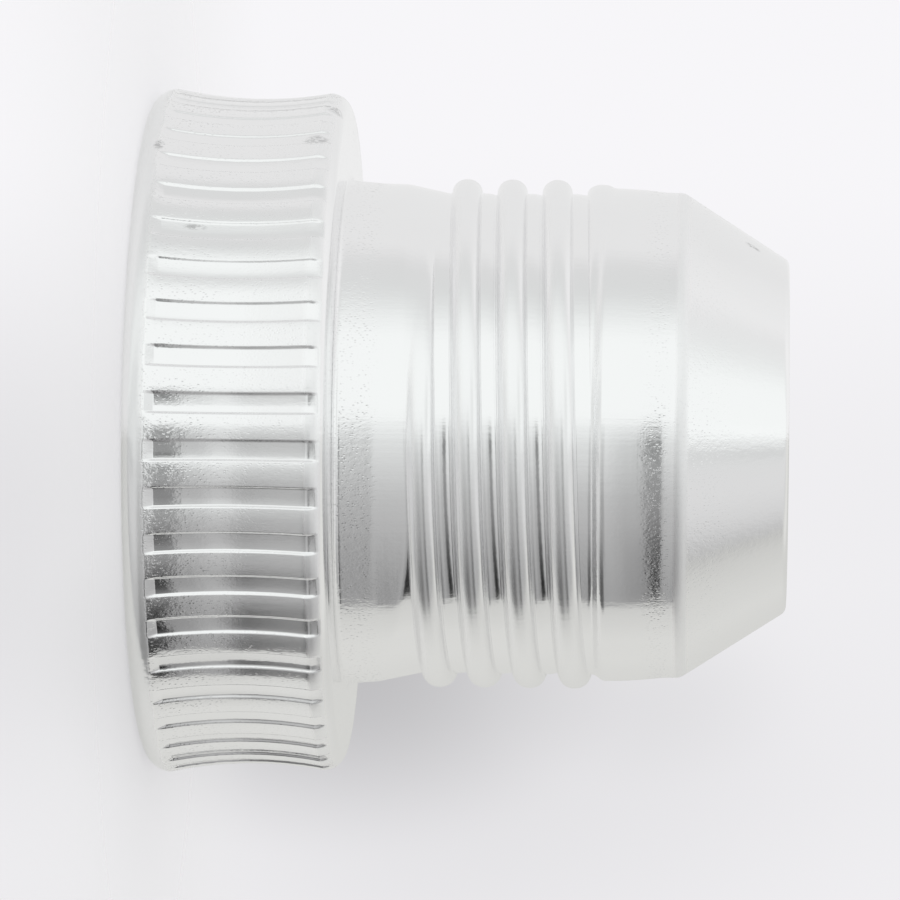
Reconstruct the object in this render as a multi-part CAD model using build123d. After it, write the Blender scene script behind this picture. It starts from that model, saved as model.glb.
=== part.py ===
"""Knurled head plug, in millimetres: one thin sheet of aluminium, drawn to a stepped cup and rolled.

It stands on its open rim with the nose up. The origin is the centre of the rim's plane, and +Z runs to the nose.
Heights are measured from the rim, and diameters, drops and rises over the outer face of the sheet.
"""

from build123d import *
from math import acos, ceil, radians, sqrt, tan
import os

# Sheet, and how far the straight runs that stand for an arc may stray from it, so that the facets stay few
wall = 0.45
run_error = 0.045

# Head: a wall with a rolled waist, between the rounded rim of the open end and the shoulder
head_height = 6.91
rim_diameter = 24.16
waist_drop = 0.33
waist_height = 3.5
shoulder_drop = 0.12
rim_round = 0.81
shoulder_round = 0.57
lip_width = 0.55

# Knurl: pockets pressed into the head wall, each with a sloped run-out at both ends
pocket_count = 47
pocket_width = 0.64
pocket_depth = 0.1
pocket_low_margin = 0.7
pocket_high_margin = 0.22
pocket_run_out = 0.38
pocket_azimuth = -94.4

# Thread: one right-hand ridge rolled into the sheet. Its flanks bulge, so that it is nearly half round.
root_diameter = 16.93
thread_pitch = 1.5875
full_turns = 3.5
ridge_height = 0.51
ridge_width = 1.04
bulge_height_share = 0.63
bulge_width_share = 0.81
crest_width_share = 0.38
ridge_lift = 0.15
ridge_azimuth = 0.0
lead_in_angle = 100.0
lead_out_angle = 80.0
lead_tightness = 0.88

# Neck beside the head, and the slope from it down to the thread's root
neck_rise = 0.305
neck_length = 1.69
neck_round = 0.45
slope_length = 1.5

# Collar that the last ridge runs into, and the plain land behind the cone
collar_rise = 0.225
collar_ramp = 0.4
collar_fall = 1.35
land_rise = 0.085
land_length = 1.3

# Cone and closed nose
cone_length = 3.7
cone_half_angle = 32.7
cone_round = 0.5
nose_round = 0.35

# Places worked out from the sizes above
rim_radius = rim_diameter / 2
root_radius = root_diameter / 2
land_radius = root_radius + land_rise
nose_radius = land_radius - cone_length * tan(radians(cone_half_angle))
neck_end = head_height + neck_length
root_start = neck_end + slope_length
root_end = root_start + full_turns * thread_pitch
collar_start = root_end + collar_ramp
land_start = collar_start + collar_fall
cone_start = land_start + land_length
nose_height = cone_start + cone_length
shoulder_radius = rim_radius - shoulder_drop
shoulder_bend = head_height - shoulder_round
waist = ThreePointArc(
    (rim_radius, rim_round),
    (rim_radius - waist_drop, waist_height),
    (shoulder_radius, shoulder_bend),
)


def waist_point(inset, height):
    """Point of the waist's curve, set in by an inset, at a height."""
    centre = waist.arc_center
    return Vector(centre.X - sqrt((waist.radius + inset) ** 2 - (height - centre.Y) ** 2), height)


def head_curve(inset):
    """Lip, rim bend, waist and shoulder's edge, on the sheet's outer face or at an inset inside it."""
    bend_start = rim_radius - rim_round
    lip = Line((bend_start - lip_width, inset), (bend_start, inset))
    bend = CenterArc((bend_start, rim_round), rim_round - inset, -90, 90)
    if inset:
        # The inner face is straight on both sides of the waist, and the shoulder's edge is sharp there.
        middle, corner = waist_point(inset, waist_height), waist_point(inset, head_height - inset)
        return [lip, bend, Line(bend @ 1, middle), Line(middle, corner)]
    return [lip, bend, waist, CenterArc((shoulder_radius - shoulder_round, shoulder_bend), shoulder_round, 0, 90)]


def shank_curve(start, inset):
    """From the shoulder's edge by the neck, thread root, collar, land and cone to the middle of the nose."""
    neck = [(neck_rise, head_height, neck_round), (neck_rise, neck_end, 0), (0, root_start, 0)]
    collar = [(0, root_end, 0), (collar_rise, collar_start, 0)]
    nose = [(land_rise, cone_start, cone_round), (nose_radius - root_radius, nose_height, nose_round)]
    corners = neck + collar + [(land_rise, land_start, 0)] + nose
    if inset:
        # The inner face runs straight on past the collar and the land to the cone, and all its bends are sharp.
        cone_reach = land_rise / tan(radians(cone_half_angle))
        corners = neck + [(0, cone_start + cone_reach, 0)] + nose[1:]
    line = [Vector(shoulder_radius - shoulder_round, head_height)]
    line += [Vector(root_radius + rise, height) for rise, height, _ in corners] + [Vector(0, nose_height)]
    points, rounds = [start], []
    for before, corner, after, (_, _, outer_round) in zip(line, line[1:], line[2:], corners):
        here, onward = (corner - before).normalized(), (after - corner).normalized()
        inward = Vector(-here.Y - onward.Y, here.X + onward.X) / (1 + here.dot(onward))
        points.append(corner + inward * inset)
        rounds.append(0 if inset else outer_round)
    return FilletPolyline(*points, (0, nose_height - inset), radius=rounds).edges()


def straight_runs(edges):
    """The corner points of a curve, with each of its arcs drawn as a few straight runs."""
    points = [edges[0] @ 0]
    for edge in edges:
        count = 1
        if edge.geom_type == GeomType.CIRCLE:
            count = ceil(edge.length / edge.radius / (2 * acos(1 - run_error / edge.radius)))
        points += [edge @ (step / count) for step in range(1, count + 1)]
    return points


def section(points):
    """A flat face in the plane of the axis, from corner points given as radius across and height up."""
    return Plane.XZ * make_face(Polyline(*points, close=True))


def turned(inset):
    """The space inside the sheet's outer face, or inside its inner face and out through the open rim."""
    head = head_curve(inset)
    points = straight_runs(head + shank_curve(head[-1] @ 1, inset))
    way_out = [Vector(0, -inset), Vector(points[0].X, -inset)] if inset else [Vector(0, 0)]
    return revolve(section(points + way_out), Axis.Z)


def ridge():
    """The helical ridge with its foot inside the root's surface. Its ends bend inwards and so sink."""
    bulge, crest = bulge_height_share * ridge_height, ridge_height
    bed = wall / 2
    foot_width = ridge_width * (1 + (1 - bulge_width_share) * bed / bulge)
    side = [
        (-bed, foot_width / 2),
        (bulge, bulge_width_share * ridge_width / 2),
        (crest, crest_width_share * ridge_width / 2),
    ]
    points = side + [(height, -half) for height, half in reversed(side)]
    outline = make_face(Polyline(*points, close=True))

    def end_face(place, onward):
        return Plane(place, x_dir=Vector(place.X, place.Y), z_dir=onward) * outline

    # Pieces of up to half a turn, end to end
    count = ceil(2 * full_turns)
    rise, turn = full_turns * thread_pitch / count, 360 * full_turns / count
    path = Edge.make_helix(thread_pitch, rise, root_radius)
    piece = sweep(end_face(path @ 0, path % 0), path=path, is_frenet=True)
    pieces = [Pos(Z=index * rise) * Rot(Z=index * turn) * piece for index in range(count)]
    whole = Edge.make_helix(thread_pitch, full_turns * thread_pitch, root_radius)
    for place, onward, angle in (
        (whole @ 0, -(whole % 0), lead_in_angle),
        (whole @ 1, whole % 1, lead_out_angle),
    ):
        inward = Vector(-place.X, -place.Y).normalized()
        turning = Axis(place + inward * root_radius * lead_tightness, onward.cross(inward))
        pieces.append(revolve(end_face(place, onward), turning, angle))
    return Pos(Z=root_start + ridge_lift) * Rot(Z=ridge_azimuth) * pieces[0].fuse(*pieces[1:])


def pockets():
    """The spaces pressed into the head wall, all round, each open outwards."""
    low, high = pocket_low_margin, head_height - pocket_high_margin
    foot, top = (waist_point(pocket_depth, z) for z in (low + pocket_run_out, high - pocket_run_out))
    floor = ThreePointArc(foot, waist_point(pocket_depth, (low + high) / 2), top)
    # Each run-out slopes from the floor up through the face, and on past it by the sheet's thickness.
    past = 1 + wall / pocket_depth
    low_end = foot + Vector(pocket_depth, -pocket_run_out) * past
    high_end = top + Vector(pocket_depth, pocket_run_out) * past
    outline = section(straight_runs([floor]) + [high_end, low_end])
    # Its two walls lie in planes through the axis.
    sides = Polyline((0, 0), (2 * rim_radius, pocket_width), (2 * rim_radius, -pocket_width), close=True)
    one = extrude(outline, pocket_width, both=True) & extrude(make_face(sides), head_height)
    return [Rot(Z=pocket_azimuth + 360 * index / pocket_count) * one for index in range(pocket_count)]


os.makedirs("parts", exist_ok=True)
plug = turned(0) + ridge() - pockets() - turned(wall)
export_step(plug, "parts/plug_shell.step")
print("height", round(nose_height, 3), "nose radius", round(nose_radius, 3), "waist curve", round(waist.radius, 2))
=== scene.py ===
# %% [markdown]
# # Knurled head plug
#
# This plug is one thin sheet of bright aluminium. A press draws it to a stepped cup with a closed nose, and
# rollers then form the thread on its shank and press the knurl into its head. It closes a threaded fitting.
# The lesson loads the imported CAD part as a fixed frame, makes the whole sheet in one Geometry Nodes tree, and
# gives it a metal finish, a studio and a camera. The plug stands on its open rim, with the nose up.

# %% Load the frame
from math import atan2, cos, pi, radians, sin, tan

import bmesh
import bpy
from mathutils import Matrix, Vector


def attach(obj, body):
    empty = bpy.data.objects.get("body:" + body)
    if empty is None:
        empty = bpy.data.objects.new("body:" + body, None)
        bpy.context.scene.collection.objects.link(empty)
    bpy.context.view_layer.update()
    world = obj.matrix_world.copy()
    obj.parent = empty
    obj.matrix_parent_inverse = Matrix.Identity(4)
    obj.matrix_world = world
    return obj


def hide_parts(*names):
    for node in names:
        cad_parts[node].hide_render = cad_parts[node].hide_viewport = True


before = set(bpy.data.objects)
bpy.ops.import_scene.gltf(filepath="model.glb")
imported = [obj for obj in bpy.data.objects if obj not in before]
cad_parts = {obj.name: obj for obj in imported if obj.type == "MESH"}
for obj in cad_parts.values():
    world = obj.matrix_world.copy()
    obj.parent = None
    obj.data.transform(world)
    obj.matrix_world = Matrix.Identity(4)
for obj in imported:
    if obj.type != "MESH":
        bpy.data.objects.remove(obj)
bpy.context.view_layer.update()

# %% [markdown]
# ## Sizes
#
# All sizes are in millimetres, as on a drawing, and `mm` turns them to Blender's metres. Heights are measured
# from the rim, and radii over the outer face of the sheet, as in the part's own source.

# %% Sizes of the sheet, the head and the shank
mm = 0.001
wall = 0.45

head_height = 6.91
rim_radius = 12.078
rim_round = 0.81
waist_drop = 0.33
waist_height = 3.5
shoulder_drop = 0.12
shoulder_round = 0.7
lip_width = 0.55
lip_round = 0.12

neck_foot_radius = 8.9
neck_bend = 8.25
neck_radius = 8.79
neck_round = 0.25
neck_tilt = 1.0
slope_tilt = 12.2
slope_end = 9.65
slope_climb = 1.55
root_radius = 8.465
collar_start = 15.62
collar_top = 16.06
collar_radius = 8.69
collar_bow = 0.14
land_start = 18.1
land_radius = 8.55
land_blend = 0.013
land_blend_rise = 0.0033
cone_start = 18.706
nose_height = 22.406
cone_half_angle = 32.7
cone_round = 0.5
nose_round = 0.35

# %% Sizes of the knurl and the thread
pocket_count = 47
pocket_azimuth = -94.3
pocket_depth = 0.1
soft_mouth, soft_foot = -2.05, -1.5
steep_foot, steep_mouth = 1.2, 1.7
soft_share = 0.7
pocket_low = 0.76
pocket_high = 6.62
low_run_out = 0.36
high_run_out = 0.2

thread_pitch = 1.5875
crest_start = 10.25
full_turns = 3.35
ridge_height = 0.51
ridge_width = 1.06
ridge_fullness = 2.15
root_tilt = 7.5
root_bow = 0.38
lead_in_start, lead_in_end = -0.45, -0.2
lead_out_turns = 0.42
climb_low = 8.0
climb_high = 17.3

# %% [markdown]
# ## The section, row by row
#
# Seen in a cut through its axis, the sheet is one closed line: over the outer face from the middle of the
# nose to the rim, round the lip, and back over the inner face to the middle of the nose. Each place on that
# line becomes one row of points round the plug. A curve object could hold the line, but a plain list of rows
# says more: a row also knows whether it lies on the outer face, whether it climbs with the thread, and
# whether it runs through the knurl. Rows stand close where the sheet bends and far apart where it is
# straight.

# %% Helpers that add rows to the section
rows = []
beside_round = 0.06


def add_row(radius, height, outer, climbs=0, knurled=0):
    """One row of points, as radius and height in millimetres and three marks."""
    rows.append((radius, height, outer, climbs, knurled))


def add_bend(centre, radius, start, end, steps, **marks):
    """Rows along a round of the section, from one angle to another."""
    for step in range(steps + 1):
        angle = radians(start + (end - start) * step / steps)
        add_row(centre[0] + radius * cos(angle), centre[1] + radius * sin(angle), **marks)


def add_straight(start, end, places, **marks):
    """Rows at some shares of the way between two places."""
    for place in places:
        add_row(*(here + (there - here) * place for here, there in zip(start, end)), **marks)


def corner_round(before, corner, after, radius):
    """Centre, start angle and end angle of the round that touches both sides of a corner."""
    here = (Vector(corner) - Vector(before)).normalized()
    onward = (Vector(after) - Vector(corner)).normalized()
    side = 1 if here.x * onward.y - here.y * onward.x > 0 else -1
    half = here.angle(onward) / 2
    centre = Vector(corner) - here * radius * tan(half) + Vector((-here.y, here.x)) * side * radius
    angles = [atan2(-side * way.x, side * way.y) * 180 / pi for way in (here, onward)]
    if side > 0 and angles[1] < angles[0]:
        angles[1] += 360
    if side < 0 and angles[1] > angles[0]:
        angles[1] -= 360
    return centre, angles


def add_corner(before, corner, after, radius, steps, **marks):
    """Rows along the round at a corner of the section, with one more row just before and just after it."""
    centre, (start, end) = corner_round(before, corner, after, radius)
    here = (Vector(corner) - Vector(before)).normalized()
    onward = (Vector(after) - Vector(corner)).normalized()
    first = centre + radius * Vector((cos(radians(start)), sin(radians(start)))) - here * beside_round
    last = centre + radius * Vector((cos(radians(end)), sin(radians(end)))) + onward * beside_round
    add_row(*first, **marks)
    add_bend(centre, radius, start, end, steps, **marks)
    add_row(*last, **marks)


# %% [markdown]
# The thread is a helix, so a row that stays level would cross its steep flanks at a slant and break them into
# steps. The rows between the neck and the land therefore climb by one pitch in each turn, and every one of
# them stays at its own place on the ridge. After a full turn, a row ends where the next ridge's row begins.
# Rows that would climb out of the threaded stretch are held at its edge, where merging takes them out.

# %% Places of the climbing rows on one pitch of the thread
outer_flank = (0.11, 0.22, 0.32, 0.4, 0.46, 0.5, 0.52, 0.533, 0.547, 0.57, 0.61, 0.67, 0.73)
inner_flank = (0.17, 0.28, 0.35, 0.4, 0.55)
spare_rows = 0.2


def places_on_pitch(flank):
    """Places of the rows from one gap's middle to the next, around the crest at 0."""
    return sorted([-place for place in flank] + [0.0, *flank, thread_pitch / 2])


print(len(places_on_pitch(outer_flank)), "rows on each pitch of the thread outside")


def add_climbing_rows(outer, upwards):
    """Rows over the whole threaded stretch, at their height where the turn begins."""
    low_turn = int((climb_low - crest_start) / thread_pitch) - 3
    high_turn = int((climb_high - crest_start) / thread_pitch) + 2
    heights = [
        crest_start + thread_pitch * turn + place
        for turn in range(low_turn, high_turn)
        for place in places_on_pitch(outer_flank if outer else inner_flank)
    ]
    lowest, highest = climb_low - thread_pitch - spare_rows, climb_high + spare_rows
    heights = [height for height in heights if lowest < height < highest]
    for height in sorted(heights, reverse=not upwards):
        add_row(root_radius, height, outer=outer, climbs=1)


# %% [markdown]
# The waist of the head is a shallow arc through three points: the widest place of the rim, the waist, and the
# widest place of the shoulder. Its centre lies far out, where the two lines that halve its chords meet.

# %% The waist's arc
def arc_through(first, middle, last):
    """Centre and radius of the arc through three places of the section."""
    (ax, ay), (bx, by), (cx, cy) = first, middle, last
    twice = 2 * (ax * (by - cy) + bx * (cy - ay) + cx * (ay - by))
    a, b, c = ax * ax + ay * ay, bx * bx + by * by, cx * cx + cy * cy
    x = (a * (by - cy) + b * (cy - ay) + c * (ay - by)) / twice
    y = (a * (cx - bx) + b * (ax - cx) + c * (bx - ax)) / twice
    return x, y, ((ax - x) ** 2 + (ay - y) ** 2) ** 0.5


shoulder_radius = rim_radius - shoulder_drop
waist_x, waist_y, waist_round = arc_through(
    (rim_radius, rim_round),
    (rim_radius - waist_drop, waist_height),
    (shoulder_radius, head_height - shoulder_round),
)
print("the waist's arc has a radius of", round(waist_round, 2), "mm")


def waist_radius(height, inset=0.0):
    """Radius of the head's wall at a height, at an inset inside the outer face."""
    return waist_x - ((waist_round + inset) ** 2 - (height - waist_y) ** 2) ** 0.5


def land_radius_at(height):
    """Radius of the collar and the land: the collar bows down to the land, which is a plain cylinder."""
    along = (height - collar_top) / (land_start - collar_top)
    bowed = collar_radius - collar_bow * along ** 2
    near_edge = max(0.0, 1 - abs(bowed - land_radius) / land_blend)
    return max(bowed, land_radius) + near_edge ** 2 * land_blend_rise


# %% Rows of the outer face, from the nose to the lip
nose_radius = land_radius - (nose_height - cone_start) * tan(radians(cone_half_angle))
nose_tip, nose_edge = (0, nose_height), (nose_radius, nose_height)
cone_edge = (land_radius, cone_start)
add_row(0, nose_height, outer=1)
add_straight(nose_tip, nose_edge, (0.3, 0.65, 0.9), outer=1)
add_corner(nose_tip, nose_edge, cone_edge, nose_round, 6, outer=1)
add_straight(nose_edge, cone_edge, (0.25, 0.5, 0.75), outer=1)
add_corner(nose_edge, cone_edge, (land_radius, land_start), cone_round, 6, outer=1)
for height in (18.4, 18.28, 18.2, 18.15, 18.1, 18.05, 18.0, 17.92, 17.8, 17.65, 17.5, 17.38):
    add_row(land_radius_at(height), height, outer=1)
add_climbing_rows(outer=1, upwards=False)
neck_lean = (neck_foot_radius - neck_radius) / (neck_bend - head_height)
neck_top = (neck_foot_radius - (climb_low - head_height) * neck_lean, climb_low)
neck_foot = (neck_foot_radius, head_height)
head_flat = (shoulder_radius - shoulder_round, head_height)
add_straight(neck_top, neck_foot, (0.1, 0.35, 0.6), outer=1)
add_corner(neck_top, neck_foot, head_flat, neck_round, 7, outer=1)
add_straight(neck_foot, head_flat, (0.4, 0.75), outer=1)
knurl = {"outer": 1, "knurled": 1}
add_row(head_flat[0] - 0.25, head_height, **knurl)
add_bend((head_flat[0], head_height - shoulder_round), shoulder_round, 90, 0, 10, **knurl)
low_foot = pocket_low + low_run_out
middle_heights = [6.0, 5.6, 5.0, 4.3, 3.5, 2.7, 2.0, 1.5]
low_heights = [low_foot + 0.12, low_foot + 0.03, low_foot, low_foot - 0.03, low_foot - 0.15, rim_round + 0.03]
for height in middle_heights + low_heights:
    add_row(waist_radius(height), height, **knurl)
add_bend((rim_radius - rim_round, rim_round), rim_round, 0, -90, 16, **knurl)
lip_foot = rim_radius - rim_round - lip_width
lip_middle = lip_foot + 0.3
add_row(lip_middle, 0, outer=1)
add_bend((lip_foot + lip_round, lip_round), lip_round, -90, -180, 4, outer=1)
print(len(rows), "rows on the outer face")

# %% Rows of the inner face, from the lip back to the nose
outer_count = len(rows)
add_bend((lip_foot + lip_round, wall - lip_round), lip_round, 180, 90, 4, outer=0)
pads = {"outer": 0, "knurled": 1}
add_row(lip_middle, wall, outer=0)
add_bend((rim_radius - rim_round, rim_round), rim_round - wall, -90, 0, 5, **pads)
for height in (1.0, 1.2, 2.2, 3.4, 4.6, 5.8):
    add_row(waist_radius(height, wall), height, **pads)
inner_bend = shoulder_round - wall
add_bend((head_flat[0], head_height - shoulder_round), inner_bend, 0, 90, 4, **pads)
inner_foot, inner_top = (neck_foot[0] - wall, head_height - wall), (neck_top[0] - wall, climb_low)
add_row(head_flat[0] - 0.4, head_height - wall, outer=0)
add_corner((head_flat[0], head_height - wall), inner_foot, inner_top, neck_round + wall, 7, outer=0)
add_straight(inner_foot, inner_top, (0.7, 0.85), outer=0)
add_climbing_rows(outer=0, upwards=True)
slant = radians(cone_half_angle)
inner_edge = (land_radius - wall, cone_start - wall * tan(slant / 2))
inner_tip = (nose_radius - wall * (1 - sin(slant)) / cos(slant), nose_height - wall)
add_straight((land_radius - wall, climb_high), inner_edge, (0.3, 0.7), outer=0)
add_row(*inner_edge, outer=0)
add_straight(inner_edge, inner_tip, (0.1, 0.5, 0.9), outer=0)
add_row(*inner_tip, outer=0)
add_straight(inner_tip, (0, nose_height - wall), (0.1, 0.5, 1.0), outer=0)
print(len(rows) - outer_count, "rows on the inner face")

# %% [markdown]
# ## Sums written as sums
#
# A node tree does its sums with Math nodes, which are slow to read and slow to wire. The small class below
# wraps one output socket and takes over Python's own signs, so that `1 - mask * depth` adds the nodes by
# itself. The same class serves the Geometry Nodes tree and the shaders.

# %% A class for wires, and one method that adds any node
class Wire:
    """An output socket of a node tree. Signs between wires and numbers add Math nodes."""

    def __init__(self, tree, socket):
        self.tree = tree
        self.socket = socket

    def sum_with(self, operation, *others):
        """What a Math node makes of this wire and the others, in this order."""
        return self.tree.sum_of(operation, self, *others)

    def __add__(self, other):
        return self.sum_with("ADD", other)

    def __mul__(self, other):
        return self.sum_with("MULTIPLY", other)

    def __sub__(self, other):
        return self.sum_with("SUBTRACT", other)

    def __truediv__(self, other):
        return self.sum_with("DIVIDE", other)

    def __rsub__(self, other):
        return self.tree.sum_of("SUBTRACT", other, self)

    def __rtruediv__(self, other):
        return self.tree.sum_of("DIVIDE", other, self)

    __radd__ = __add__
    __rmul__ = __mul__

    def __neg__(self):
        return 0.0 - self

    def size(self):
        """The wire's value without its sign."""
        return self.sum_with("ABSOLUTE")

    def floor(self):
        return self.sum_with("FLOOR")

    def clamp(self, low, high):
        return self.sum_with("MAXIMUM", low).sum_with("MINIMUM", high)

    def larger(self, other, rounding=0.0):
        """The larger of two wires, with the corner between them rounded off."""
        return self.sum_with("SMOOTH_MAX", other, rounding)

    def smaller(self, other, rounding=0.0):
        """The smaller of two wires, with the corner between them rounded off."""
        return self.sum_with("SMOOTH_MIN", other, rounding)

    def ramp(self, low, high, start=0.0, end=1.0, smooth=False):
        """Goes from start to end while this wire goes from low to high, and stays level on both sides."""
        kind = "SMOOTHSTEP" if smooth else "LINEAR"
        places = {"Value": self, 1: low, 2: high, 3: start, 4: end}
        return self.tree.node("ShaderNodeMapRange", {"interpolation_type": kind, "clamp": True}, places)

    def curve(self, *stops):
        """Follows straight lines between (place, value) stops, and stays level before and after them."""
        value = stops[0][1]
        for (place, start), (next_place, end) in zip(stops, stops[1:]):
            if start != end:
                value = value + self.ramp(place, next_place, 0, end - start)
        return value


class Tree:
    """Adds nodes to one node tree and wires them."""

    def __init__(self, tree):
        self.tree = tree

    def node(self, kind, settings=None, inputs=None, output=0):
        """Adds a node with its settings and inputs, and gives back one of its outputs."""
        node = self.tree.nodes.new(kind)
        for name, value in (settings or {}).items():
            setattr(node, name, value)
        for name, value in (inputs or {}).items():
            if isinstance(value, Wire):
                self.tree.links.new(value.socket, node.inputs[name])
            else:
                node.inputs[name].default_value = value
        return None if output is None else Wire(self, node.outputs[output])

    def sum_of(self, operation, *values):
        """Adds a Math node for an operation on wires and numbers."""
        return self.node("ShaderNodeMath", {"operation": operation}, dict(enumerate(values)))

    def output(self, wire, name):
        """Another output of the node that a wire comes from."""
        return Wire(self, wire.socket.node.outputs[name])


# %% [markdown]
# ## The tree that makes the sheet
#
# The tree starts from a flat grid with one column for each step round the plug and one row for each row of
# the section, and wraps it round the axis. Wrapping a grid keeps every row and column in hand, which a Screw
# modifier or a lathe wouldn't: the columns of the head crowd at the pocket walls, the shank gets along with a
# third of them, and the climbing rows follow the thread. Merging by distance then closes the seam, the two
# middles of the nose, and the columns and rows that fall together.

# %% The tree's inputs
knurl_steps = 12
shank_share = 3
columns = pocket_count * knurl_steps

group = bpy.data.node_groups.new("wrap_sheet", "GeometryNodeTree")
group.interface.new_socket("Geometry", in_out="OUTPUT", socket_type="NodeSocketGeometry")
group.interface.new_socket("Geometry", in_out="INPUT", socket_type="NodeSocketGeometry")
tree_inputs = {
    "Rows": ("NodeSocketInt", len(rows)),
    "Columns": ("NodeSocketInt", columns),
    "Pockets": ("NodeSocketInt", pocket_count),
    "Pocket depth": ("NodeSocketFloat", pocket_depth),
    "Thread pitch": ("NodeSocketFloat", thread_pitch),
    "Ridge height": ("NodeSocketFloat", ridge_height),
    "Ridge width": ("NodeSocketFloat", ridge_width),
    "Full turns": ("NodeSocketFloat", full_turns),
    "Sheet": ("NodeSocketFloat", wall),
    "Finish": ("NodeSocketMaterial", None),
}
for name, (kind, _) in tree_inputs.items():
    group.interface.new_socket(name, in_out="INPUT", socket_type=kind)

sheet = Tree(group)
section_rows = sheet.node("NodeGroupInput")
given = {name: sheet.output(section_rows, name) for name in tree_inputs}

# %% Which row and which column a point of the grid is
grid_size = {"Vertices X": given["Rows"], "Vertices Y": given["Columns"] + 1}
grid = sheet.node("GeometryNodeMeshGrid", inputs=grid_size)
index = sheet.node("GeometryNodeInputIndex")
row = (index / grid_size["Vertices Y"]).floor()
column = index - row * grid_size["Vertices Y"]


def of_row(name, kind="FLOAT"):
    """What the section says about the row that a grid point is in."""
    if name == "position":
        value = sheet.node("GeometryNodeInputPosition")
    else:
        value = sheet.node("GeometryNodeInputNamedAttribute", {"data_type": kind}, {"Name": name})
    return sheet.node("GeometryNodeSampleIndex", {"data_type": kind, "domain": "POINT"},
                      {0: section_rows, 1: value, 2: row})


place = sheet.node("ShaderNodeSeparateXYZ", inputs={0: of_row("position", "FLOAT_VECTOR")})
row_radius, row_height = place, sheet.output(place, "Z")
outer, climbs, knurled = of_row("outer"), of_row("climbs"), of_row("knurled")

# %% [markdown]
# The angle of a column is counted in turns. In the head, each pocket has twelve columns: five over each of
# its walls, one on its floor and one in the middle of the land beside it. The two walls aren't alike, so
# their columns have places of their own. In the shank, three columns at a time share one angle, so that they
# merge.

# %% The turn of each point
pocket_turn = 1 / given["Pockets"]
step_in_pocket = column / knurl_steps - (column / knurl_steps).floor()
to_degrees = 360.0
half_pocket = to_degrees / 2 / pocket_count
beside_wall = 0.06
places_in_pocket = (
    (0, -half_pocket),
    (1, soft_mouth - beside_wall),
    (5, soft_foot + beside_wall),
    (6, 0.0),
    (7, steep_foot - beside_wall),
    (11, steep_mouth + beside_wall),
    (knurl_steps, half_pocket),
)
angle_in_pocket = step_in_pocket.curve(*((step / knurl_steps, angle) for step, angle in places_in_pocket))
pockets_to_seam = 12
first_land = pocket_azimuth + 2 * half_pocket * pockets_to_seam + half_pocket
knurl_turn = (
    (column / knurl_steps).floor() * pocket_turn
    + (angle_in_pocket + half_pocket + first_land) / to_degrees
)
shank_turn = ((column / shank_share + 0.5).floor() * shank_share) / given["Columns"]
turn = shank_turn + (knurl_turn - shank_turn) * knurled

# %% [markdown]
# The height of a climbing row grows by one pitch in a turn and is held inside the threaded stretch. Its
# radius follows from its height: the neck, the slope down from it and the collar with its bow. Where two of
# them meet, the larger or smaller radius counts, with the corner between them rounded a little. The slope
# climbs with the thread, as the run-out of its lowest groove, and drops back where the turn ends. Where the
# slope or the collar shouldn't count, it is sunk under the others.

# %% Height and radius before the thread and the knurl are formed
neck_bend_blend = 0.005
sunk_by = 0.3
climbed = (row_height + given["Thread pitch"] * turn).clamp(climb_low, climb_high)
height = row_height + (climbed - row_height) * climbs
neck_line = (neck_foot_radius - (height - head_height) * neck_lean).larger(
    neck_radius - (height - neck_bend) * tan(radians(neck_tilt)), neck_bend_blend
)
slope_foot = slope_end + turn * slope_climb - turn.ramp(0.8, 1.0, 0, slope_climb, smooth=True)
slope_line = root_radius + (slope_foot - height) * tan(radians(slope_tilt))
down_collar = ((height - collar_top) / (land_start - collar_top)).clamp(0, 1)
collar = (
    height.ramp(collar_start - 0.2, collar_start, -sunk_by, 0)
    + height.ramp(collar_start, collar_top, 0, collar_radius - root_radius, smooth=True)
    - down_collar * down_collar * collar_bow
)

# %% [markdown]
# The ridge is a full round bead pushed out of the sheet from inside, so the inner face has a narrower groove
# behind it. It rises out of the slope along the first part of a turn, and sinks into the collar at its end.
# Between two ridges the root is a narrow strip that leans towards the nose, with a small round at each foot.

# %% The thread
groove_width_share, groove_height_share = 0.7, 0.8
foot_blend, slope_blend, collar_blend = 0.06, 0.03, 0.05
fall_below_foot = 3
root_reach = 0.3
pitches_up = (height - crest_start) / given["Thread pitch"] - turn
ridge_number = (pitches_up + 0.5).floor()
across = (pitches_up - ridge_number) * given["Thread pitch"]
turns_along = turn + ridge_number


def presence(turns):
    """How much of its height the ridge has, at a number of turns from where it would start at azimuth 0."""
    rising = turns.ramp(lead_in_start, lead_in_end, smooth=True)
    last_turn = given["Full turns"]
    return rising * turns.ramp(last_turn, last_turn + lead_out_turns, 1, 0, smooth=True)


slope_drop = (pitches_up + 1).ramp(0.2, 0.33) * presence(turn - 1) * sunk_by
neck_and_slope = neck_line.smaller(slope_line - slope_drop, slope_blend)
side = across.sum_with("SIGN")
present = presence(turns_along)
both_present = present * presence(turns_along + side)
half_width = given["Ridge width"] / 2 * (outer * (1 - groove_width_share) + groove_width_share)
share = (across.size() / half_width).clamp(0, 1)
fullness = (1 - share.sum_with("POWER", ridge_fullness)).sum_with("POWER", 1 / ridge_fullness)
bead_height = given["Ridge height"] * (outer * (1 - groove_height_share) + groove_height_share)
below_foot = (across.size() - half_width).clamp(0, 1) * fall_below_foot
bead = (fullness * bead_height - below_foot) * present
off_gap = (across - side * given["Thread pitch"] / 2).clamp(-root_reach, root_reach)
lean = off_gap * (off_gap * root_bow + tan(radians(root_tilt))) * -outer
ridge = bead.larger(lean * both_present, present * foot_blend)
shank_radius = neck_and_slope.larger(ridge + root_radius, slope_blend)
shank_radius = shank_radius.larger(collar + root_radius, present * collar_blend)
shank_radius = shank_radius - (1 - outer) * given["Sheet"]
radius = row_radius + (shank_radius - row_radius) * climbs

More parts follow.
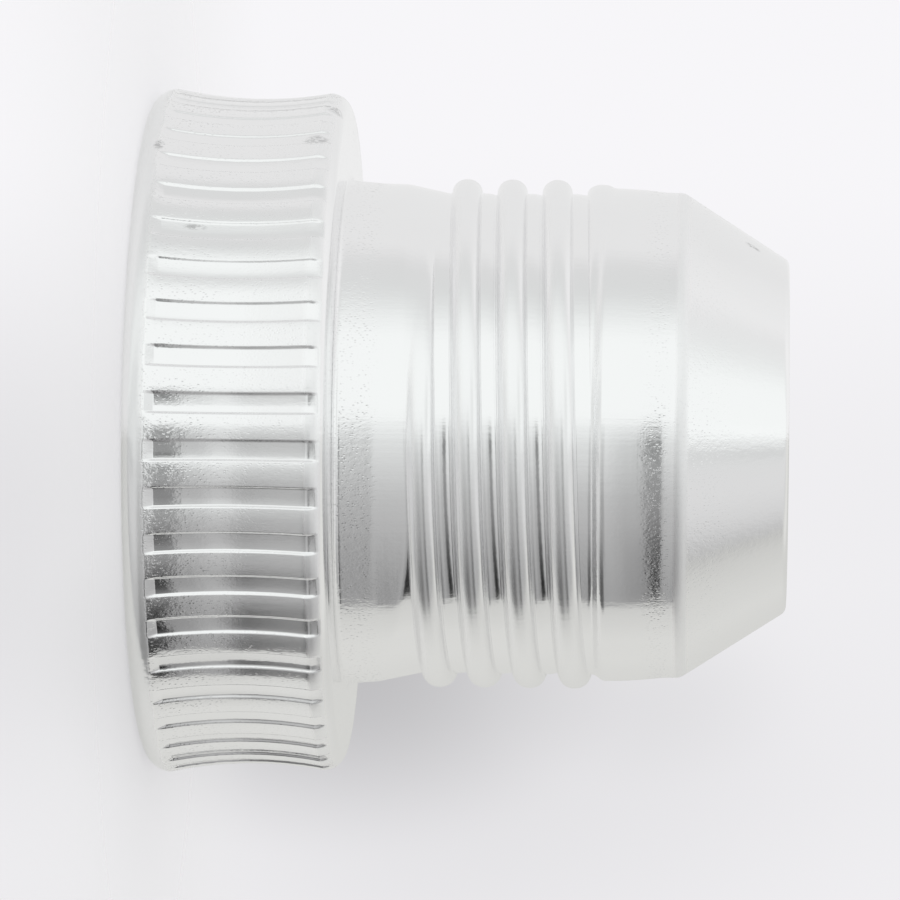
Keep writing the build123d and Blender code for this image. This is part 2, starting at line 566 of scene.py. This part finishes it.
# %% [markdown]
# A pocket is pressed in by a rolling tooth. The wall that the tooth leaves first is soft and stops short of
# the full depth, the floor slopes on from there, and the other wall is steep. Both ends are sloped. On the
# inner face the pocket stands up as a pad with softer edges.

# %% The knurl
pad_blur = 0.3
from_pocket = turn * to_degrees - pocket_azimuth
in_pockets = from_pocket / (pocket_turn * to_degrees) + 0.5
off_middle = (in_pockets - in_pockets.floor() - 0.5) * pocket_turn * to_degrees
blur = (1 - outer) * pad_blur
sideways = (
    off_middle.ramp(soft_mouth - blur, soft_foot + blur, 0, soft_share, smooth=True)
    + off_middle.ramp(soft_foot, steep_foot, 0, 1 - soft_share)
) * off_middle.ramp(steep_foot - blur, steep_mouth + blur, 1, 0, smooth=True)
lengthways = (
    height.ramp(pocket_low, pocket_low + low_run_out)
    * height.ramp(pocket_high - high_run_out, pocket_high, 1, 0)
)
pocket = sideways * lengthways * knurled
waist_zone = height.ramp(0.5, 0.75) * height.ramp(6.5, 6.8, 1, 0)

# %% Wrap, merge and hand over
final_radius = (radius - pocket * given["Pocket depth"]) * mm
angle = turn * (2 * pi)
wrapped = sheet.node("ShaderNodeCombineXYZ", inputs={
    "X": final_radius * angle.sum_with("COSINE"),
    "Y": final_radius * angle.sum_with("SINE"),
    "Z": height * mm,
})
marks_for_finish = {
    "pocket": pocket * outer,
    "land": knurled * outer * (1 - pocket) * waist_zone,
    "crest": fullness * present * climbs * outer,
}
marked = grid
for name, value in marks_for_finish.items():
    marked = sheet.node("GeometryNodeStoreNamedAttribute", {"data_type": "FLOAT", "domain": "POINT"},
                        {"Geometry": marked, "Name": name, "Value": value})
merge_distance = 0.0008 * mm
placed = sheet.node("GeometryNodeSetPosition", inputs={"Geometry": marked, "Position": wrapped})
merged = sheet.node("GeometryNodeMergeByDistance", inputs={"Geometry": placed, "Distance": merge_distance})
smooth = sheet.node("GeometryNodeSetShadeSmooth", inputs={0: merged})
real = sheet.node("GeometryNodeRealizeInstances", inputs={"Geometry": smooth})
finished = sheet.node("GeometryNodeSetMaterial", inputs={"Geometry": real, "Material": given["Finish"]})
sheet.node("NodeGroupOutput", inputs={0: finished}, output=None)
print(len(group.nodes), "nodes in the tree of the sheet")

# %% [markdown]
# ## The finish
#
# Bright drawn aluminium is nearly a mirror, so most of its look is what it reflects. The finish only breaks
# that mirror up. Fine pits make it sparkle where a bright reflection meets a dark one, most of all on the
# lands of the knurl, the foot of the neck, the collar's end and the cone's edge, which touch everything. Long
# fine scratches run along the axis, and faint rings run round it, where the rollers and the draw ring have
# been. The pockets keep a smoother skin, and the rolled crests of the thread a satin one.

# %% Bright aluminium: what is where
aluminium = bpy.data.materials.new("bright_aluminium")
aluminium.use_nodes = True
aluminium.node_tree.nodes.clear()
metal = Tree(aluminium.node_tree)
here = metal.output(metal.node("ShaderNodeTexCoord"), "Object")
here_xyz = metal.node("ShaderNodeSeparateXYZ", inputs={0: here})
height_here = metal.output(here_xyz, "Z") / mm
land, pocket_floor, crest = (
    metal.output(metal.node("ShaderNodeAttribute", {"attribute_name": name}), "Fac")
    for name in ("land", "pocket", "crest")
)
neck_zone = height_here.ramp(6.9, 7.0) * height_here.ramp(8.0, 8.5, 1, 0)
collar_zone = height_here.ramp(17.3, 17.7) * height_here.ramp(18.2, 18.4, 1, 0)
rim_side = height_here.ramp(2.2, 3.8, 1, 0.4)
cone_zone = height_here.ramp(18.4, 18.6) * height_here.ramp(19.6, 20.8, 1, 0)
worn = (land * rim_side + neck_zone * 0.8 + collar_zone * 0.6 + cone_zone * 0.4).clamp(0, 1)


def noise(scale, detail=2.0, rough=0.5, stretch=None):
    """Noise between 0 and 1 at a number of grains to the metre, stretched by a Mapping node if asked."""
    where = here
    if stretch:
        where = metal.node("ShaderNodeMapping", inputs={"Vector": here, "Scale": stretch})
    return metal.node("ShaderNodeTexNoise", inputs={
        "Vector": where, "Scale": scale, "Detail": detail, "Roughness": rough,
    })


# %% Bright aluminium: grain, scratches, rings and pits
grain = noise(6500, 2, 0.65, stretch=(1, 1, 0.6))
scratches = noise(5200, 2, 0.6, stretch=(1, 1, 0.035))
rings = noise(1800, 3, 0.6, stretch=(0.02, 0.02, 1))
patches = noise(420, 3, 0.55)
stretched = metal.node("ShaderNodeMapping", inputs={"Vector": here, "Scale": (1, 1, 0.6)})
pit_inputs = {"Vector": stretched, "Scale": 12500.0}
pit_cells = metal.node("ShaderNodeTexVoronoi", inputs=pit_inputs, output="Distance")
pit_draw = metal.node("ShaderNodeSeparateColor", inputs={0: metal.output(pit_cells, "Color")})
pits = pit_cells.ramp(0.05, 0.45, 1, 0, smooth=True) * pit_draw.ramp(0.35, 0.6)
relief = (
    grain * (0.5 + worn * (0.8 + patches * 1.6) + pocket_floor * 0.1)
    + scratches * (0.7 - worn * 0.3)
    + rings * 0.5 * (1 - worn)
    - pits * (worn * patches.ramp(0.35, 0.65, 0.4, 2.2) + 0.06)
)
edge_of_shoulder = land * height_here.ramp(6.1, 6.25)
edge_of_cone = height_here.ramp(18.45, 18.6) * height_here.ramp(18.85, 19.0, 1, 0)
edges = edge_of_shoulder * 0.25 + edge_of_cone * 0.3
roughness = 0.12 + (patches - 0.5) * 0.06 + worn * 0.03 - pocket_floor * 0.04 + crest * 0.13 + edges

# %% [markdown]
# A few places carry a scuff of their own: two by the shoulder's edge, one by the rim, one on the cone near
# the nose and a long one in a pocket. Each is a small patch of darker, rougher metal round one point, with
# its reach across and how many times longer it is along the axis.

# %% Bright aluminium: single scuffs
scuff_places = (
    ((-11.22, -3.96, 6.6), 0.5, 1.0),
    ((-10.04, -6.44, 6.08), 0.45, 1.3),
    ((-9.71, -7.05, 0.77), 0.35, 0.7),
    ((-6.59, -2.35, 21.1), 0.3, 1.4),
    ((-6.9, -9.57, 2.3), 0.16, 3.4),
)
scuffed = 0.0
for place_here, reach, longer in scuff_places:
    middle_here = tuple(value * mm for value in place_here)
    off = metal.node("ShaderNodeVectorMath", {"operation": "SUBTRACT"}, {0: here, 1: middle_here})
    off = metal.node("ShaderNodeVectorMath", {"operation": "MULTIPLY"}, {0: off, 1: (1, 1, 1 / longer)})
    away = metal.node("ShaderNodeVectorMath", {"operation": "LENGTH"}, {0: off}, output=1)
    scuffed = scuffed + (away / mm).ramp(reach * 0.4, reach, 1, 0, smooth=True)
scuffed = scuffed * noise(7000, 2, 0.7, stretch=(1, 1, 0.5)).ramp(0.42, 0.56)

shade = 0.92 + (patches - 0.5) * 0.02 - worn * pits * 0.1 - scuffed * 0.32
colour = metal.node("ShaderNodeCombineColor", inputs={0: shade, 1: shade, 2: shade * 1.004})
dents = relief - scuffed * 0.8
deepest_dent = 0.004 * mm
bump = metal.node("ShaderNodeBump", inputs={"Strength": 1.0, "Distance": deepest_dent, "Height": dents})
skin = metal.node("ShaderNodeBsdfPrincipled", inputs={
    "Base Color": colour, "Metallic": 1.0, "Normal": bump,
    "Roughness": (roughness + scuffed * 0.2).clamp(0.05, 0.6),
})
metal.node("ShaderNodeOutputMaterial", inputs={"Surface": skin}, output=None)
print(len(aluminium.node_tree.nodes), "nodes in the finish")

# %% [markdown]
# ## Make the sheet
#
# The rows become a mesh of loose points that carry the marks, and the tree turns that mesh to the sheet. Its
# result is then kept as a plain mesh, because the frame works on plain meshes.

# %% Run the tree
points = bpy.data.meshes.new("section_rows")
points.from_pydata([(radius, 0, height) for radius, height, *_ in rows], [], [])
for number, name in enumerate(("outer", "climbs", "knurled"), start=2):
    mark = points.attributes.new(name, "FLOAT", "POINT")
    mark.data.foreach_set("value", [float(row[number]) for row in rows])
pattern = bpy.data.objects.new("section_rows", points)
bpy.context.scene.collection.objects.link(pattern)
wrap = pattern.modifiers.new("wrap_sheet", "NODES")
wrap.node_group = group
tree_inputs["Finish"] = ("NodeSocketMaterial", aluminium)
for item in group.interface.items_tree:
    if item.in_out == "INPUT" and item.name in tree_inputs:
        wrap[item.identifier] = tree_inputs[item.name][1]
bpy.context.view_layer.update()
made = pattern.evaluated_get(bpy.context.evaluated_depsgraph_get())
sheet_mesh = bpy.data.meshes.new_from_object(made)
sheet_mesh.name = "plug_sheet"
pattern.modifiers.remove(wrap)
bpy.data.objects.remove(pattern)
plug = bpy.data.objects.new("plug_sheet", sheet_mesh)
bpy.context.scene.collection.objects.link(plug)
sheet_mesh.calc_loop_triangles()
print(len(sheet_mesh.vertices), "points,", len(sheet_mesh.loop_triangles), "triangles")

# %% Check the shell: closed, and with its faces outwards
shell = bmesh.new()
shell.from_mesh(sheet_mesh)
open_edges = sum(1 for edge in shell.edges if len(edge.link_faces) != 2)
volume = shell.calc_volume(signed=True) / mm ** 3
if volume < 0:
    bmesh.ops.reverse_faces(shell, faces=shell.faces)
    shell.to_mesh(sheet_mesh)
shell.free()
print("open edges:", open_edges, " volume in cubic mm:", round(volume, 1))

# %% Its place in the frame: it rides on the root body and takes the CAD shell's place
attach(plug, "root")
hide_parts("plug_shell")

# %% [markdown]
# ## Studio
#
# The plug stands in a bright tent. Polished metal has no colour of its own to speak of, so what it shows is
# the tent. Two angles describe the tent: how far round the plug's axis a direction points, counted from the
# camera, and its lift towards the nose. On one side of the camera the tent is white, with a dimmer cloth
# further round. On the other it is open to the grey room, which grows darker and ends at a sharp edge where
# the white table begins. Each curve below gives the light at a few angles, or the share of it that is lost,
# with straight lines between them.

# %% Angles of a direction
world = bpy.data.worlds.new("studio")
bpy.context.scene.world = world
world.use_nodes = True
world.node_tree.nodes.clear()
world.cycles.sampling_method = "NONE"
studio = Tree(world.node_tree)
towards = studio.node("ShaderNodeSeparateXYZ",
                      inputs={0: studio.output(studio.node("ShaderNodeTexCoord"), "Generated")})
east, north, up = towards, studio.output(towards, "Y"), studio.output(towards, "Z")
degrees = 180 / pi
round_axis = (-east).sum_with("ARCTAN2", -north) * degrees
lift = up.sum_with("ARCSINE") * degrees
high = lift.size().ramp(30, 60)

# %% The tent and the room
room = round_axis.curve((-80, 0.44), (-50, 0.53), (-30, 0.63), (8, 1.0))
cloth = round_axis.ramp(42, 74, smooth=True) * (0.25 - high * 0.13)
behind = round_axis.ramp(84, 96) * (0.09 - high * 0.04) + round_axis.ramp(160, 176, 0, 0.03)
tent = room - cloth + behind

# %% [markdown]
# The room isn't even. It is brightest where the look is level and falls off to both sides of that. A dark
# strip, the open gap between two screens, stands a little towards the nose. Far up and far down the axis, two
# pale screens fill the room again, and a dark corner lies low on the rim's side.

# %% What the room's side holds
level = lift.ramp(-9, -2, smooth=True) * lift.ramp(0, 5, 1, 0)
not_far_down = (-lift).ramp(28, 40, 1, 0)
fall_off = (0.28 + lift.ramp(2, 9, 0, 0.06) - level * 0.19) * lift.ramp(16.5, 20, 1, 0) * not_far_down
fall_off = fall_off * (1 - lift.ramp(3, 7) * round_axis.ramp(-62, -42, 0, 0.32))
strip_depth = round_axis.curve((-74, 0.63), (-64, 0.54), (-60, 0.54), (-36, 0.37), (-14, 0.37), (-2, 0.59))
dark_strip = lift.ramp(9, 10.5) * lift.ramp(17.5, 19.5, 1, 0) * strip_depth
screens = lift.ramp(34, 50, 0, 0.32) + (-lift).ramp(38, 48, 0, 0.28)
corner_depth = (-round_axis).curve((10, 0.0), (34, 0.14), (46, 0.14), (72, 0.67))
corner = (-lift).ramp(-1, 8, smooth=True) * not_far_down * corner_depth
room_share = round_axis.ramp(-5, 8, 1, 0)
open_side = tent * (1 + room_share * (screens - fall_off - dark_strip)) * (1 - corner)

# %% The table, and its edge, which lies a little lower on the rim's side
table = (-round_axis).curve((82, 0.63), (112, 0.74), (130, 0.74), (175, 0.67))
below_table = (round_axis + (-lift).ramp(1, 4, 0, 3)).ramp(-87.5, -85.5, 1, 0)
low_light = table * below_table + open_side * (1 - below_table)

# %% What the cone and the steep rounds see, high above the nose and far below the rim
high_light = round_axis.curve(
    (-106, 0.78), (-88, 0.69), (-80, 0.69), (-50, 0.76), (-24, 0.76), (-18, 0.68), (-17, 0.68), (-14, 0.72),
    (-11, 0.805), (0, 0.97),
)
reflected = low_light + (high_light - low_light) * high * round_axis.ramp(-2, 6, 1, 0)
steep = lift.size().ramp(28, 42) * lift.ramp(48, 56, 1, 0)
steep_dimming = round_axis.curve(
    (-95, 0.07), (-85, 0.19), (-70, 0.19), (-45, 0.11), (-20, 0.11), (5, 0.17), (20, 0.17), (45, 0.0),
)
reflected = reflected - steep * steep_dimming

# %% [markdown]
# The camera sees a pale backdrop instead, a little greyer half way down, with the plug's soft shadow on it
# below the head. Two angles say where a direction lies in the picture: along the plug and down. The shadow
# is three soft ellipses. It belongs to the backdrop, because the plug stands upright here and can't cast the
# shadow that it cast when it lay on its side.

# %% The backdrop
along = up.sum_with("ARCTAN2", north) * degrees
down = east.sum_with("ARCTAN2", north) * degrees
greyer = down.ramp(-3.0, 0.9, smooth=True) - down.ramp(1.6, 4.5, 0, 0.5, smooth=True)
backdrop = 0.93 - greyer * along.ramp(-7, -1, 0.165, 0.07)
backdrop = backdrop - along.ramp(-1.5, 2.5) * down.ramp(1.5, 3.5) * 0.04


def soft_ellipse(middle_along, middle_down, reach_along, reach_down):
    """1 in the middle of an ellipse of the picture, and falling softly to 0 at its edge."""
    off_along, off_down = (along - middle_along) / reach_along, (down - middle_down) / reach_down
    inside = (1 - off_along * off_along - off_down * off_down).clamp(0, 1)
    return inside * inside


backdrop = backdrop - soft_ellipse(-3.9, 2.25, 3.2, 2.1) * 0.25
backdrop = backdrop - soft_ellipse(-2.2, 3.55, 4.5, 3.0) * 0.105
backdrop = backdrop - soft_ellipse(-0.7, 2.55, 1.7, 1.1) * 0.05

# %% [markdown]
# One background serves three kinds of ray. The camera sees the backdrop, mirror rays see the tent, and all
# others get a plain pale light. The white of the tent is a touch cool and the table a touch warm, as in the
# photograph, and the backdrop leans a little to violet.

# %% World
paths = studio.node("ShaderNodeLightPath")
seen = studio.output(paths, "Is Camera Ray")
glossy = studio.output(paths, "Is Glossy Ray")
strength = seen * backdrop + (1 - seen) * (glossy * reflected + (1 - glossy) * 0.95)
cool = (1 - seen) * round_axis.ramp(-40, 0) * round_axis.ramp(60, 90, 1, 0)
warm = (1 - seen) * below_table
red = 1 - cool * 0.022
green = 1 - seen * 0.009
blue = 1 - cool * 0.008 - warm * 0.03 + seen * 0.016
tint = studio.node("ShaderNodeCombineColor", inputs={0: red, 1: green, 2: blue})
background = studio.node("ShaderNodeBackground", inputs={"Color": tint, "Strength": strength})
studio.node("ShaderNodeOutputWorld", inputs={"Surface": background}, output=None)
print(len(world.node_tree.nodes), "nodes in the studio")

# %% [markdown]
# The plug stands on a disc of pale paper, which views from above show. It is mostly clear and fades out
# towards its rim, so that it has no edge.

# %% Floor
floor_mesh = bpy.data.meshes.new("floor")
floor_shape = bmesh.new()
floor_radius = 0.06
bmesh.ops.create_circle(floor_shape, cap_ends=True, segments=96, radius=floor_radius)
floor_shape.to_mesh(floor_mesh)
floor_shape.free()
floor = bpy.data.objects.new("floor", floor_mesh)
bpy.context.scene.collection.objects.link(floor)
paper = bpy.data.materials.new("pale_paper")
paper.use_nodes = True
paper.node_tree.nodes.clear()
paper_tree = Tree(paper.node_tree)
on_floor = paper_tree.output(paper_tree.node("ShaderNodeTexCoord"), "Object")
from_centre = paper_tree.node("ShaderNodeVectorMath", {"operation": "LENGTH"}, {0: on_floor}, output=1)
clear_from, clear_to = 0.013, 0.055
fade = from_centre.ramp(clear_from, clear_to, 0.7, 1, smooth=True)
paper_colour = (0.87, 0.87, 0.87, 1)
matt = paper_tree.node("ShaderNodeBsdfPrincipled", inputs={"Base Color": paper_colour, "Roughness": 0.9})
clear = paper_tree.node("ShaderNodeBsdfTransparent")
faded = paper_tree.node("ShaderNodeMixShader", inputs={0: fade, 1: matt, 2: clear})
paper_tree.node("ShaderNodeOutputMaterial", inputs={"Surface": faded}, output=None)
floor_mesh.materials.append(paper)

# %% [markdown]
# ## Camera
#
# The photograph looks at the plug from the side, with a long lens, and turned a quarter so that the plug lies
# with its nose to the right.

# %% Camera
eye = Vector((0.0, -0.204, 0.0202))
look_at = Vector((0.0006, 0.0, 0.0105))
picture_tilt = radians(0.6)
camera_data = bpy.data.cameras.new("camera")
camera_data.sensor_width = 36
camera_data.lens = 231
camera_data.clip_start = 0.01
camera = bpy.data.objects.new("camera", camera_data)
bpy.context.scene.collection.objects.link(camera)
back = (eye - look_at).normalized()
axis = Vector((0, 0, 1))
right = (axis - back * axis.dot(back)).normalized()
right = Matrix.Rotation(picture_tilt, 3, back) @ right
above = back.cross(right)
camera.matrix_world = Matrix.Translation(eye) @ Matrix((right, above, back)).transposed().to_4x4()
bpy.context.scene.camera = camera
bpy.context.scene.view_settings.view_transform = "Standard"
